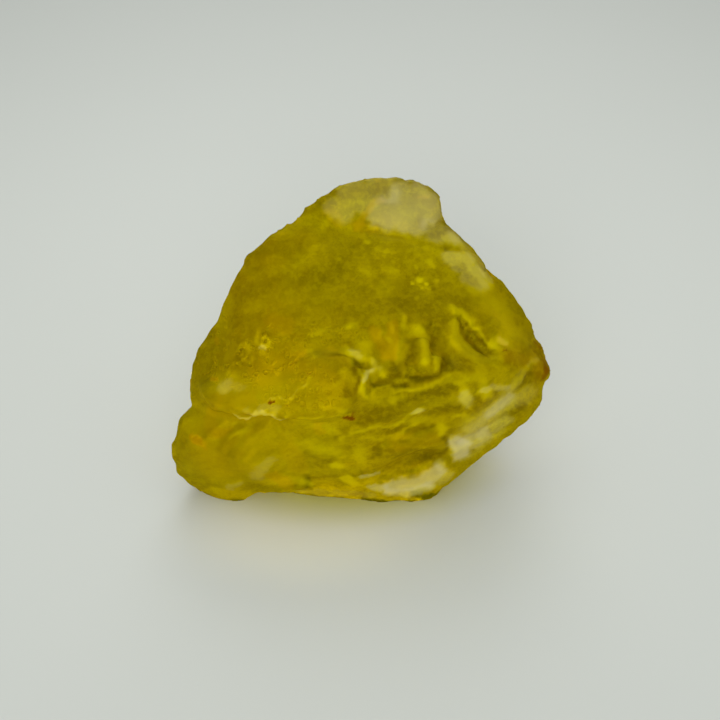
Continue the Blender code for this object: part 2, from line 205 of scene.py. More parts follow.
# Painted light: bright places painted into the glass's colour where light comes through it, and painted
# highlights along ridges, rims and crests.
PAINTED_LIGHT = [
    (0.5, 0.4, [(124, -30), (128, -36)], [(-5, -110), (2, -108)], [(105, -32), (106, -42)]),
    (0.6, 0.3, [(-58, -26), (-42, -26)], [(-60, -60), (-30, -68)], [(-40, -92), (-15, -98)], [(40, 4),
     (44, 14)]),
    (0.4, 0.4, [(-12, 8), (-9, -2)], [(109, 15), (116, 7)], [(36, -40), (42, -38)], [(110, 70), (124, 68)],
     [(34, -39)], [(105, -86), (120, -80)], [(38, 0), (42, -8)]),
    (0.35, 0.4, [(95, -44), (102, -40)], [(80, -88), (90, -86)], [(-15, -12), (-10, -20)], [(102, -55),
     (110, -58)]), (0.8, 0.3, [(-45, -85), (-20, -92)], [(-60, 10), (-30, 8)]),
    (1.2, 0.2, [(-75, 60), (-30, 60)]),
    (0.4, 0.6, [(-56, -122), (-51, -124)], [(94, 36), (93, 24), (96, 15)]),
    (0.8, 0.1, [(-48, 120), (-40, 98)]), (0.7, 0.35, [(-120, -44), (-88, -44)]),
    (0.6, 0.25, [(-172, -65), (-162, -72)]),
    (0.4, 0.5, [(-15, 10), (-10, 0)], [(-63, -118), (-58, -120)], [(26, 0), (24, -8)], [(100, 10), (107, 4),
     (115, -1)]), (0.4, 0.65, [(3, -12), (8, -15), (12, -20)]),
    (0.35, 0.45, [(120, -34), (126, -38)], [(-10, 34), (-2, 36)]),
    (0.4, 0.3, [(40, -63), (72, -61)], [(40, -128), (76, -126)]),
    (0.8, 0.25, [(35, 80), (25, 70)], [(110, -12), (140, -15), (150, -25)]),
    (0.5, 0.35, [(88, 102), (96, 98)]), (0.5, 0.3, [(-95, -122), (-60, -122)], [(12, -38), (32, -42)]),
    (0.3, 0.45, [(152, -27), (160, -18), (170, -5), (177, 2)]), (0.22, 0.5, [(109, 92)], [(76, 80)]),
    (0.5, 0.5, [(4, 14), (8, 10)], [(100, 22), (105, 11)]), (0.6, 0.12, [(-170, -60), (-155, -68)]),
    (0.4, 0.35, [(124, -38), (130, -32)]), (1.4, 0.3, [(-135, -20), (-75, -22)]),
    (0.5, 0.45, [(122, -12), (124, -28)]), (1.0, 0.3, [(-110, -105), (-80, -105)]),
    (0.26, 0.6, [(140, 20), (147, 17)]), (1.0, 0.2, [(35, 128), (60, 120), (85, 110)]),
    (0.8, 0.12, [(90, 85), (105, 70)]), (0.7, 0.6, [(90, 120), (110, 98), (128, 75)]),
    (0.8, 0.35, [(-132, 60), (-138, 35), (-128, 10)], [(-60, -85), (-45, -90)]),
    (0.8, 0.2, [(110, -40), (125, -55), (110, -65)]),
    (1.2, 0.4, [(-135, -35), (-115, -35), (-85, -30)], [(125, 60), (140, 50), (148, 30)]),
    (1.0, 0.35, [(-145, -55), (-125, -68), (-110, -80)]),
    (0.6, 0.35, [(-70, -114), (-40, -112), (-15, -110)], [(98, -87), (120, -76)]),
    (1.7, 0.2, [(-162, -80), (-142, -95), (-148, -115)]),
    (1.5, 0.25, [(-110, -90), (-105, -110), (-125, -122)]),
    (1.0, 0.25, [(-170, -45), (-160, -55)], [(-90, -72), (-75, -90)]), (0.2, 0.95, [(53, 77)]),
    (0.26, 0.95, [(60, 80)]), (0.22, 0.95, [(67, 77)]), (0.16, 0.8, [(63, 72)]), (0.12, 0.8, [(57, 72)]),
    (0.34, 0.55, [(-14, 6), (-3, 4), (3, 3)]),
    (0.22, 0.6, [(6, 3), (11, 1), (11, -4)], [(114, 32), (120, 28), (124, 19), (130, 12)]),
    (0.3, 0.6, [(14, -3), (20, -9), (23, -14)]),
    (0.28, 0.7, [(14, -11), (7, -14), (2, -20), (1, -27), (5, -36)]), (0.4, 0.95, [(57.5, -51)]),
    (0.18, 0.7, [(55, 93)]),
    (0.16, 0.6, [(69, 71)], [(59, 73)], [(-20, -80), (-8, -72), (2, -70), (18, -67), (36, -65)]),
    (0.26, 0.5, [(68, 99), (73, 94)]), (0.2, 0.5, [(59, 105)], [(7, 118)], [(95, -56), (110, -54)]),
    (0.2, 0.45, [(18, 111), (29, 109)]),
    (0.2, 0.4, [(-22, 102), (-17, 99)], [(-45, 114)], [(33, 35), (34, 29)], [(24, -94), (29, -95)],
     [(-98, 8), (-90, 4)]), (0.16, 0.4, [(-49, 51)], [(95, -23), (104, -20), (110, -18)]),
    (0.22, 0.4, [(3, 90), (10, 86)], [(56, 61)]), (0.24, 0.4, [(12, 73)], [(36, 88), (24, 91)]),
    (0.4, 0.55, [(58, 30), (64, 25), (65, 12), (65, -1)]), (0.34, 0.75, [(77, 3), (77, -6)]),
    (0.3, 0.65, [(91, 53), (98, 50), (106, 44), (111, 38)]),
    (0.2, 0.35, [(21, 30), (21, 22)], [(36, 18), (37, 8)]),
    (0.16, 0.5, [(46, -19), (52, -22)], [(88, -13), (96, -11), (106, -14)], [(2, -78), (24, -78), (36, -76),
     (44, -70), (58, -63)], [(-64, -58), (-42, -58), (-18, -56)], [(-85, -16), (-81, -12)], [(-38, -48),
     (-28, -46), (-15, -53)]),
    (0.16, 0.55, [(14, -30), (26, -28), (36, -32), (44, -30), (52, -27)], [(42, -61), (52, -52),
     (64, -46)]), (0.3, 0.38, [(50, -28), (64, -26), (76, -21), (87, -14)]),
    (0.3, 0.5, [(131, 17), (138, 11)]), (0.24, 0.5, [(44, 43), (45, 36)], [(-48, 10), (-46, 4)]),
    (0.5, 0.25, [(124, -2), (132, 0), (140, 4)]), (0.45, 0.4, [(89, -17), (102, -20), (116, -16)]),
    (0.24, 0.6, [(6, -20), (3, -28)]), (0.6, 0.5, [(-2, -90), (1, -100)]),
    (0.34, 0.8, [(-27, -106), (-21, -105)]), (0.45, 0.7, [(-15, -118), (-8, -123)]),
    (0.34, 0.6, [(81, -74), (83, -69)]), (0.3, 0.22, [(42, -49), (65, -42), (95, -38)]),
    (0.3, 0.25, [(80, -58), (81, -74)]), (0.12, 0.4, [(25, -87), (45, -87), (65, -87)]),
    (0.45, 0.25, [(-30, -72), (-15, -76), (-20, -88)]), (0.18, 0.2, [(-8, -69), (20, -66), (36, -65)]),
    (0.3, 0.55, [(101, -26), (106, -34)]), (0.3, 0.4, [(-47, 26), (-38, 29)]),
    (0.2, 0.55, [(-101, 27), (-104, 22), (-103, 17)]),
    (0.15, 0.95, [(-100, 18), (-98, 22), (-94, 23), (-90, 20), (-90, 16), (-94, 13), (-99, 14),
     (-100, 18)]), (0.15, 0.55, [(-122, 10), (-120, 15), (-115, 16), (-111, 11), (-114, 5), (-119, 5)]),
    (0.14, 0.45, [(-127, -6), (-124, -2), (-120, -5)]),
    (0.14, 0.5, [(-117, 0), (-112, -2), (-108, 2)], [(-132, -12), (-124, -17)], [(-78, 27), (-76, 22)]),
    (0.15, 0.6, [(-88, -37), (-80, -38), (-74, -42), (-68, -36), (-60, -29), (-53, -23), (-51, -17)]),
    (0.2, 0.75, [(-124, -54), (-119, -58), (-113, -58), (-108, -56), (-104, -53), (-98, -52), (-87, -54),
     (-84, -58), (-79, -60), (-75, -59), (-72, -57)]), (0.14, 0.4, [(-70, 0), (-60, 4), (-52, 10)]),
]

# Painted shade: dark olive places painted into the glass's colour where it lies in shade.
PAINTED_SHADE = [
    (0.6, 0.35, [(158, 8), (172, -6), (156, -26)], [(126, 8), (145, 0)], [(-40, 9), (-22, 7)], [(-10, -6),
     (-7, -20)]),
    (0.5, 0.35, [(95, -14), (118, -14)], [(68, 32), (78, 26)], [(-60, -90), (-45, -95), (-30, -98)]),
    (0.4, 0.4, [(74, -1), (82, -6)], [(38, -6), (46, -2)], [(5, 131), (25, 128), (40, 123)], [(100, 4),
     (114, -8)], [(117, -32), (120, -40)], [(-131, 25), (-125, 15)]),
    (0.4, 0.35, [(17, -9), (22, -13)], [(-58, 148), (-45, 152)]),
    (0.5, 0.3, [(-75, 5), (-63, 2)], [(18, 76)], [(118, 10), (130, 0)], [(-8, -88), (-20, -90)], [(14, -20),
     (20, -32)], [(-15, -72), (-18, -86)], [(12, 5), (16, 12)], [(32, -16), (42, -18)]),
    (0.45, 0.4, [(-42, -125), (-10, -123)], [(132, -72), (146, -64)]),
    (0.5, 0.4, [(30, -38), (60, -42)], [(14, 157)], [(96, -2), (114, -6), (128, -7)], [(89, 114),
     (102, 110)], [(26, -4), (36, -6)]),
    (0.4, 0.3, [(118, 68), (130, 70)], [(2, -12), (12, -24)], [(-105, 0), (-98, -8)]),
    (0.5, 0.5, [(110, -52), (126, -43)], [(50, 19), (50, 8)], [(150, -52), (162, -46)]),
    (0.6, 0.3, [(40, 38), (58, 44)], [(140, -32), (152, -42)], [(20, -32), (30, -36)]),
    (0.62, 0.6, [(173, 14), (179, 6), (182, -6), (180, -18)]),
    (0.3, 0.4, [(-70, 4), (-60, 6)], [(-109, 30), (-106, 22)]), (0.25, 0.4, [(-72, -6), (-66, -2)]),
    (0.45, 0.55, [(52, -10), (66, -12)]), (1.0, 0.3, [(12, 110), (18, 75)], [(95, 105), (110, 85)]),
    (1.3, 0.52, [(25, 156), (50, 148), (70, 136)]),
    (1.0, 0.32, [(-155, -12), (-128, 6), (-100, 8), (-60, 8)]),
    (0.6, 0.4, [(90, 128), (106, 108)], [(140, 2), (160, 0), (176, 4)], [(-60, -118), (-30, -114),
     (0, -110)]), (0.4, 0.5, [(-2, 135), (10, 133), (22, 130)], [(65, -52), (82, -49), (98, -44)]),
    (0.3, 0.3, [(90, 124), (98, 117)], [(124, 5), (130, 3)]),
    (0.7, 0.55, [(166, 12), (174, -15), (154, -24)]), (0.55, 0.5, [(50, -14), (64, -15), (80, -12)]),
    (0.35, 0.5, [(48, -8), (56, -11)], [(110, 28), (126, 20)]), (0.4, 0.45, [(44, -22), (60, -21)]),
    (2.2, 0.25, [(-95, 90), (-65, 85), (-40, 65)]), (0.5, 0.45, [(84, -2), (87, -16)]),
    (0.7, 0.3, [(40, -120), (70, -110)]),
    (1.6, 0.45, [(-25, 152), (0, 155), (30, 155), (58, 154), (76, 132)]),
    (0.9, 0.35, [(-15, 170), (5, 174), (30, 176), (52, 173), (70, 164)], [(-25, 50), (0, 42)]),
    (1.3, 0.32, [(-30, 98), (-10, 88)]), (1.3, 0.45, [(12, 116), (35, 104), (52, 90)]),
    (0.9, 0.3, [(25, 95), (40, 75)]), (1.3, 0.38, [(-70, 30), (-55, 15), (-35, 10)]),
    (0.8, 0.25, [(-105, 108), (-92, 114)]), (0.5, 0.55, [(40, -34), (65, -32), (85, -29)]),
    (0.6, 0.25, [(-165, -72), (-145, -74)]), (2.2, 0.35, [(-102, 75), (-80, 68), (-60, 60)]),
    (1.2, 0.45, [(-126, 62), (-132, 38), (-134, 20)]), (0.8, 0.55, [(-132, 20), (-124, 10), (-116, -4)]),
    (1.1, 0.5, [(40, 58), (65, 57), (86, 60), (102, 57)]),
    (0.8, 0.45, [(68, 46), (80, 38)], [(5, -55), (25, -54), (38, -51)]),
    (0.6, 0.45, [(126, 40), (130, 26)]), (0.36, 1.0, [(100, 40), (102, 35)]),
    (0.5, 0.75, [(111, 25), (117, 18), (123, 10)]), (0.16, 0.6, [(125, 7), (137, 4)]),
    (0.42, 0.7, [(74, 32), (74, 15)]), (0.42, 0.65, [(85, 5), (87, -7)]),
    (0.6, 0.55, [(18, -18), (30, -20), (42, -22)]), (0.34, 0.75, [(36, -26), (42, -25)]),
    (0.4, 0.8, [(52, -13), (65, -16), (80, -14)]),
    (0.4, 0.6, [(82, 2), (86, -6)], [(24, -70), (36, -70), (44, -66)]),
    (0.8, 0.4, [(15, -12), (35, -8), (45, -12)], [(40, -45), (60, -40), (80, -36)]),
    (0.36, 0.4, [(49, 15), (48, 0)]), (0.6, 0.6, [(-4, -4), (-6, -18), (-9, -34)]),
    (0.7, 0.4, [(72, 25), (80, 15)]),
    (0.35, 0.45, [(-8, -32), (-8, -44), (-5, -52)], [(0, -64), (18, -60), (32, -58)]),
    (0.95, 0.58, [(26, -92), (50, -92), (76, -90)]), (0.8, 0.5, [(32, -104), (52, -103), (70, -99)]),
    (1.0, 0.35, [(-150, -70), (-132, -92), (-124, -80)]),
    (0.8, 0.3, [(95, 5), (102, -8)], [(138, 10), (150, 2)]),
    (0.45, 0.45, [(28, -41), (52, -38), (66, -32), (88, -29)]),
    (0.3, 0.5, [(48, -72), (60, -68), (72, -64)], [(86, -80), (88, -90)]),
    (0.55, 0.4, [(76, -51), (95, -46)]), (0.34, 0.5, [(116, -36), (119, -50)]),
    (0.42, 0.55, [(143, -57), (153, -53), (161, -46)]), (0.2, 0.95, [(86, 110), (95, 112), (104, 110)]),
    (0.16, 0.95, [(-95, 18)]), (0.2, 0.6, [(-98, 27), (-92, 26)], [(-158, -45), (-147, -43)]),
    (0.16, 0.5, [(-117, 10)], [(-125, -6)]), (0.7, 0.5, [(-50, -131), (-25, -133), (0, -134)]),
    (0.26, 0.5, [(71, 76), (74, 71)]), (0.26, 0.45, [(4, 36), (9, 32)]),
    (0.16, 0.45, [(-17, 21), (-10, 14)]), (0.2, 0.4, [(-98, 27), (-88, 25)]),
    (0.3, 0.45, [(15, -98), (17, -88), (25, -81)]),
]

# Orange and gold desert varnish.
GOLD = [
    (0.8, 0.3, [(40, -82), (70, -80)]),
    (0.6, 0.35, [(-135, -40), (-110, -38)], [(-145, -40), (-150, -55), (-148, -68)]),
    (0.6, 0.3, [(-32, 8), (-15, 2)]), (0.8, 0.25, [(-60, -110), (-70, -90)]),
    (0.28, 0.4, [(141, 20), (146, 16)]), (1.0, 0.35, [(152, 6), (168, 2), (178, -6)]),
    (3.0, 0.34, [(-110, 70), (-115, 30), (-125, -10), (-135, -60), (-145, -100)]),
    (2.6, 0.26, [(-75, 30), (-85, -30), (-98, -80), (-110, -110)]),
    (2.0, 0.25, [(-160, -80), (-155, -110)]), (1.6, 0.25, [(-90, 110), (-60, 120)]),
    (1.4, 0.5, [(-98, -12), (-70, -4), (-42, -14), (-22, -28)]), (1.1, 0.4, [(-64, -42), (-35, -42)]),
    (0.8, 0.45, [(-86, 38), (-75, 34)]),
    (0.3, 0.6, [(22, 160), (14, 157), (10, 151), (6, 146), (2, 139), (-3, 133)]),
    (0.2, 0.5, [(61, 163), (68, 162)]), (0.45, 0.35, [(-4, 134), (4, 131), (14, 131)]),
    (0.5, 0.35, [(-22, 138), (-30, 145)]), (0.34, 0.95, [(-168, -78), (-161, -81), (-155, -86)]),
    (0.26, 0.5, [(-144, -75), (-135, -72), (-129, -70)]),
    (0.6, 0.5, [(-87, -116), (-78, -120), (-72, -125)]), (0.24, 0.6, [(-148, -18), (-142, -19)]),
    (0.26, 0.45, [(-144, 20)]), (0.55, 0.6, [(15, 28), (22, 18), (25, 6)]),
    (0.45, 0.6, [(33, 34), (34, 15), (33, 4)]), (0.28, 0.45, [(-58, 6), (-65, -1), (-69, -8)]),
    (0.4, 0.2, [(-90, 8), (-98, 0)]), (0.4, 0.4, [(-42, -64), (-40, -72)]),
]

# Brown iron specks and edges.
RUST = [
    (0.35, 0.28, [(-186, -86), (-185, -98)]), (0.4, 0.75, [(177, 17), (183, 5), (187, -7), (186, -17)]),
    (0.8, 0.5, [(174, 10), (181, -2), (181, -12)]), (0.5, 0.5, [(179, 14), (185, 2), (187, -10)]),
    (0.5, 0.3, [(180, -25), (176, -37)]), (0.34, 1.0, [(-14, -57.5), (-9, -58.5)]),
    (0.2, 0.75, [(-7, -56), (-5, -52)]), (0.24, 1.0, [(-90, -42), (-88.5, -42.5)]),
    (0.15, 0.9, [(-74, -47)]), (0.18, 0.9, [(-51, -14)]),
    (0.16, 0.35, [(-72, 5), (-62, 7), (-56, 5)], [(-72, -7), (-67, -1), (-62, 1)]),
    (0.16, 0.3, [(-89, -6), (-84, -2)]), (0.14, 0.4, [(-84, -15), (-80, -11)]),
    (0.12, 0.5, [(0, -52), (6, -51)], [(174, 8)]), (0.07, 0.6, [(-49, 33)], [(128, -56)]),
    (0.08, 0.5, [(-38, 69)]), (0.14, 0.85, [(143, 10), (146, 10)]), (0.1, 0.5, [(145, -67)]),
    (0.26, 0.6, [(-148, -18), (-142, -20)]), (0.5, 0.45, [(148, 2), (164, 0)]),
    (0.3, 0.6, [(-166, -79), (-160, -82)]), (0.3, 0.28, [(-148, -76), (-140, -72), (-132, -64)]),
    (0.5, 0.15, [(-25, -64), (-15, -66)]), (0.5, 0.12, [(-75, -120), (-60, -124)]),
    (0.14, 0.3, [(-152, -77), (-144, -74)]),
]

# Fresher, smoother glass in the scars.
SMOOTH = [
    (1.6, 0.9, [(128, 62), (145, 48), (155, 25)]),
    (1.0, 0.7, [(48, 20), (70, 15), (90, 20), (110, 10)], [(20, -125), (50, -125), (75, -115)]),
    (1.4, 0.6, [(40, -80), (70, -70), (100, -80)]), (1.0, 0.5, [(30, 150), (60, 150)]),
]

# Crowds of small burst bubbles.
BUBBLES = [
    (1.0, 0.5, [(-135, 40), (-145, 15), (-155, -5)]), (1.1, 1.0, [(-128, 15), (-115, 8), (-92, 18)]),
    (1.2, 0.8, [(-135, -10), (-110, -15), (-80, -5)]), (1.4, 0.7, [(-85, -12), (-60, -10), (-35, -18)]),
    (1.2, 0.6, [(-90, -38), (-65, -40), (-35, -42)]), (0.9, 0.6, [(-60, 24), (-30, 26), (-5, 26)]),
    (0.9, 0.5, [(-150, -20), (-145, -5)]), (1.2, 0.35, [(-115, 60), (-80, 45)]),
]

# The roughest sand-worn places.
ROUGH = [
    (1.2, 0.8, [(-55, 120), (-25, 120), (5, 115), (35, 105), (60, 90)]),
    (0.9, 0.6, [(-70, 90), (-30, 80), (10, 80)]), (1.0, 0.6, [(-130, 10), (-110, 10)]),
]

# The marks that tint the glass, each with what stands for it on the sides that the eye doesn't see:
# its strength, how it is stretched along each axis, its size in mm, which pattern, and the two
# levels of the noise that it comes in between.
TINTS = (
    ("milky", MILKY, 0.45, (1.5, 1.0, 0.8), 5.5, 7.0, 0.15, 0.95),
    ("gold", GOLD, 0.55, (1.0, 1.0, 1.0), 3.8, 2.0, 0.20, 0.80),
    ("olive_tone_and_painted_shade", PAINTED_SHADE, 0.45, (0.6, 1.0, 1.6), 1.6, 4.0, 0.10, 0.80),
    ("light", PAINTED_LIGHT, 0.55, (0.5, 1.0, 1.6), 1.3, 6.0, 0.15, 0.80),
    ("rust", RUST, 0.80, (1.0, 1.0, 1.0), 0.7, 8.0, 0.98, 1.10),
)

# Named inputs of the wear tree. Each takes the setting of the same name.
WEAR_INPUTS = (
    "Pit Spacing", "Pit Depth", "Grain Spacing", "Grain Height", "Flow Spacing", "Flow Height", "Seed"
)


def linear(hex_colour):
    """An sRGB hex colour as linear red, green and blue."""
    parts = [int(hex_colour[i : i + 2], 16) / 255 for i in (1, 3, 5)]
    return tuple(c / 12.92 if c <= 0.04045 else ((c + 0.055) / 1.055) ** 2.4 for c in parts)


def add(tree, kind, settings=None, inputs=None):
    """Adds a node, gives it its settings, and sets or links its inputs by name or number. A node
    that is given as an input stands for its first output."""
    made = tree.nodes.new(kind)
    for name, value in (settings or {}).items():
        setattr(made, name, value)
    for name, value in (inputs or {}).items():
        if isinstance(value, bpy.types.Node):
            value = value.outputs[0]
        if isinstance(value, bpy.types.NodeSocket):
            tree.links.new(value, made.inputs[name])
        else:
            made.inputs[name].default_value = value
    return made


class GlassSettings(bpy.types.PropertyGroup):
    """Sizes and colours of the fragment."""

    mesh_size: bpy.props.FloatProperty(
        name="Mesh size", description="Edge of the fine surface's squares", default=0.16 * MM, unit="LENGTH"
    )
    pit_spacing: bpy.props.FloatProperty(
        name="Pit spacing", description="From one etched pit to the next", default=0.9 * MM, unit="LENGTH"
    )
    pit_depth: bpy.props.FloatProperty(
        name="Pit depth", description="Depth of the deepest etched pits", default=0.07 * MM, unit="LENGTH"
    )
    grain_spacing: bpy.props.FloatProperty(
        name="Grain spacing", description="Size of the sand-worn grain", default=0.55 * MM, unit="LENGTH"
    )
    grain_height: bpy.props.FloatProperty(
        name="Grain height", description="Height of the sand-worn grain", default=0.10 * MM, unit="LENGTH"
    )
    flow_spacing: bpy.props.FloatProperty(
        name="Flow spacing", description="From one flow band to the next", default=1.1 * MM, unit="LENGTH"
    )
    flow_height: bpy.props.FloatProperty(
        name="Flow height", description="Height of the flow bands", default=0.16 * MM, unit="LENGTH"
    )
    seed: bpy.props.IntProperty(
        name="Seed", description="Another wear pattern for each number", default=7, min=1
    )
    glass: bpy.props.FloatVectorProperty(
        name="Glass", description="Tint of the worn glass surface", subtype="COLOR", size=3,
        default=linear("#F1E014"),
    )
    milky: bpy.props.FloatVectorProperty(
        name="Frosted glass", description="Tint where the surface is frosted", subtype="COLOR", size=3,
        default=linear("#DAD2A8"),
    )
    # Painted light, laid into the glass's colour at the marked bright places and on bubble rims; it also
    # lightens the glass at random in streaks, mottling and wrinkles.
    light: bpy.props.FloatVectorProperty(
        name="Clear glass", description="Tint where light comes through", subtype="COLOR", size=3,
        default=linear("#FFF218"),
    )
    # Dark olive painted shade, laid into the glass's colour at the marked dark places, sunk wear and bubble
    # bowls; it also darkens the glass at random in clouds, bands and grit.
    olive_tone_and_painted_shade: bpy.props.FloatVectorProperty(
        name="Deep glass", description="Tint of the dark olive places", subtype="COLOR", size=3,
        default=linear("#8A7608"),
    )
    gold: bpy.props.FloatVectorProperty(
        name="Varnish", description="Orange and gold desert varnish", subtype="COLOR", size=3,
        default=linear("#FACC10"),
    )
    rust: bpy.props.FloatVectorProperty(
        name="Rust", description="Brown iron specks and edges", subtype="COLOR", size=3,
        default=linear("#6A2C06"),
    )


class StageSettings(bpy.types.PropertyGroup):
    """The floor, the light and the camera."""

    floor: bpy.props.FloatVectorProperty(
        name="Floor", description="Colour of the floor", subtype="COLOR", size=3, default=linear("#C3C6C0")
    )
    # Painted glow and shadow: the floor close to the glass is painted darker and deep yellow.
    painted_glow_and_shadow: bpy.props.FloatVectorProperty(
        name="Glow", description="Colour of the floor close to the glass, where light comes through",
        subtype="COLOR", size=3, default=linear("#B0AE5C"),
    )
    # Painted pool of light: the floor a little further out is painted lighter.
    pool: bpy.props.FloatVectorProperty(
        name="Pool", description="Colour of the floor a little further out, where that light spreads",
        subtype="COLOR", size=3, default=linear("#D0D1C6"),
    )
    room: bpy.props.FloatVectorProperty(
        name="Room light", description="Colour of the light from all round", subtype="COLOR", size=3,
        default=linear("#FBFFFD"),
    )
    room_light: bpy.props.FloatProperty(
        name="Room light strength", description="Strength of the light from all round", default=0.50
    )
    key_power: bpy.props.FloatProperty(
        name="Main lamp", description="Power of the soft lamp overhead", default=0.021, unit="POWER"
    )
    back_power: bpy.props.FloatProperty(
        name="Back lamp", description="Power of the soft lamp behind", default=0.042, unit="POWER"
    )
    front_power: bpy.props.FloatProperty(
        name="Front lamp", description="Power of the soft fill lamp in front", default=0.148, unit="POWER"
    )
    lens: bpy.props.FloatProperty(
        name="Lens", description="Focal length on a 36 mm sensor, in mm", default=70.0
    )


def mesh_arrays(mesh):
    """Positions and normals of a mesh's points."""
    co = np.empty(len(mesh.vertices) * 3, np.float32)
    normal = np.empty(len(mesh.vertices) * 3, np.float32)
    mesh.vertices.foreach_get("co", co)
    mesh.vertices.foreach_get("normal", normal)
    return co.reshape(-1, 3).astype(float), normal.reshape(-1, 3).astype(float)


def hit_tree(mesh, co):
    """What finds where a line meets the mesh."""
    return BVHTree.FromPolygons(co.tolist(), [tuple(p.vertices) for p in mesh.polygons])


def apply_modifiers(piece):
    """Turns the piece, with its modifiers, into a plain mesh."""
    bpy.context.view_layer.update()
    mesh = bpy.data.meshes.new_from_object(piece.evaluated_get(bpy.context.evaluated_depsgraph_get()))
    piece.modifiers.clear()
    piece.data = mesh


def smooth(piece, rounds, group=""):
    """Wears the mesh soft, so many times over, where the group of points says or all over."""
    soft = piece.modifiers.new("soft", "SMOOTH")
    soft.factor = 0.5
    soft.iterations = rounds
    soft.vertex_group = group
    apply_modifiers(piece)


def fine_copy(size):
    """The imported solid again, as a closed skin of small even squares with its facets worn soft."""
    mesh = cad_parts["desert_glass"].data.copy()
    mesh.materials.clear()
    work = bmesh.new()
    work.from_mesh(mesh)
    bmesh.ops.remove_doubles(work, verts=work.verts, dist=1e-7)
    work.to_mesh(mesh)
    work.free()
    piece = bpy.data.objects.new("glass_fragment", mesh)
    bpy.context.scene.collection.objects.link(piece)
    skin = piece.modifiers.new("skin", "REMESH")
    skin.mode = "VOXEL"
    skin.voxel_size = size
    smooth(piece, 5)
    return piece


def sight_line(across, up):
    """The way from the eye to a place on the sight plane."""
    aim = EYE_AIM + Vector((1, 0, 0)) * (across * STEP * MM) + EYE_UP * (up * STEP * MM)
    return (aim - EYE).normalized()


def on_rim(co, normal, place):
    """The point of the glass's outline, as the eye sees it, that is nearest to a place."""
    line = co - np.array(EYE)
    line /= np.linalg.norm(line, axis=1)[:, None]
    edge_on = abs((line * normal).sum(1)) <= 0.2
    off = np.linalg.norm(line - np.array(sight_line(*place)), axis=1)
    return co[np.where(edge_on, off, np.inf).argmin()]


def run_points(tree, places, half_width):
    """Points along a run of places, on the glass: under half a half width apart, or one step."""
    found = []
    apart = max(0.45 * half_width / STEP, 1)
    for (x0, y0), (x1, y1) in zip(places, places[1:] or places):
        count = max(1, math.ceil(math.hypot(x1 - x0, y1 - y0) / apart))
        for k in range(count + 1):
            spot = tree.ray_cast(EYE, sight_line(x0 + (x1 - x0) * k / count, y0 + (y1 - y0) * k / count))[0]
            if spot is not None:
                found.append(tuple(spot))
    return np.array(found).reshape(-1, 3)


def nearness(co, points, half_width):
    """1 on the points and falling to 0 round them, for every point of the mesh."""
    value = np.zeros(len(co))
    if not len(points):
        return value
    reach = REACH * half_width
    near = np.where(((co > points.min(0) - reach) & (co < points.max(0) + reach)).all(1))[0]
    if len(near):
        gap = np.full(len(near), np.inf)
        for p in points:
            gap = np.minimum(gap, ((co[near] - p) ** 2).sum(1))
        value[near] = np.exp(-gap / half_width**2) - math.exp(-(REACH**2))
    return value.clip(0, 1)


def ragged(co, amount):
    """The points moved about a little, so that every mark gets an uneven edge: by up to 0.15 mm in
    waves of 0.75 mm, and by up to 0.10 mm in waves of 0.28 mm."""
    moved = co.copy()
    for wave, far in ((0.75 * MM, 0.15 * MM), (0.28 * MM, 0.10 * MM)):
        shift = [tuple(noise.noise_vector(p / wave)) for p in map(Vector, co)]
        moved += amount * far * np.array(shift)
    return moved


def step_between(values, low, high):
    """0 below the low value, 1 above the high one, smooth between them."""
    value = ((values - low) / (high - low)).clip(0, 1)
    return value**2 * (3 - 2 * value)


def patches(co, size, shift):
    """Even noise from about -1 to 1 in patches of that size in mm, another pattern for each shift."""
    move = Vector((shift, 2 * shift, -shift))
    return np.array([noise.noise(p / (size * MM) + move) for p in map(Vector, co)]) * 1.8


def soften(piece, mask):
    """Wears the mesh soft where the mask is 1."""
    group = piece.vertex_groups.new(name="creases")
    for k in np.where(mask > 0.02)[0]:
        group.add([int(k)], float(mask[k]), "REPLACE")
    smooth(piece, 30, group.name)
    piece.vertex_groups.clear()


def paint(tree, co, rows):
    """One mask from rows of runs. The edge of a narrow run is crisp, that of a wide one fades."""
    mask = np.zeros(len(co))
    for half_width, strength, *runs in rows:
        for places in runs:
            value = nearness(co, run_points(tree, places, half_width), half_width * MM)
            if half_width < 1.0:
                value = step_between(value, 0.12, 0.72)
            mask = 1 - (1 - mask) * (1 - strength * value)
    return mask


def carve(tree, co, plain, normal):
    """Heights of the raised and sunk runs, of the outline's shifts and of the pits, in metres."""
    height = np.zeros(len(co))
    for half_width, shift, *runs in OUTLINE:
        for places in runs:
            spots = np.array([on_rim(plain, normal, place) for place in places])
            height += shift * MM * nearness(plain, spots, half_width * MM)
    for half_width, rise, *runs in RELIEF:
        for places in runs:
            height += rise * MM * nearness(co, run_points(tree, places, half_width), half_width * MM)
    for radius, depth, places in PITS:
        for place in places:
            # A bowl in a lower raised ring: three round marks, at so many times the radius.
            spot = run_points(tree, [place], radius)
            bowl, wide, narrow = (nearness(co, spot, times * radius * MM) for times in (0.75, 1.5, 0.95))
            height += depth * MM * (0.7 * (wide - narrow) - bowl)
    return height


def empty_tree(owner):
    """The node tree of a material or world, with nothing in it."""
    owner.use_nodes = True
    owner.node_tree.nodes.clear()
    return owner.node_tree


def along_flow(tree, place, stretch):
    """Places turned and stretched, so that a pattern on them is drawn out the way the glass flowed."""
    turned = add(
        tree, "ShaderNodeVectorRotate", {"rotation_type": "EULER_XYZ"},
        {"Vector": place, "Rotation": FLOW_TURN},
    )
    return add(tree, "ShaderNodeVectorMath", {"operation": "MULTIPLY"}, {0: turned, 1: stretch})


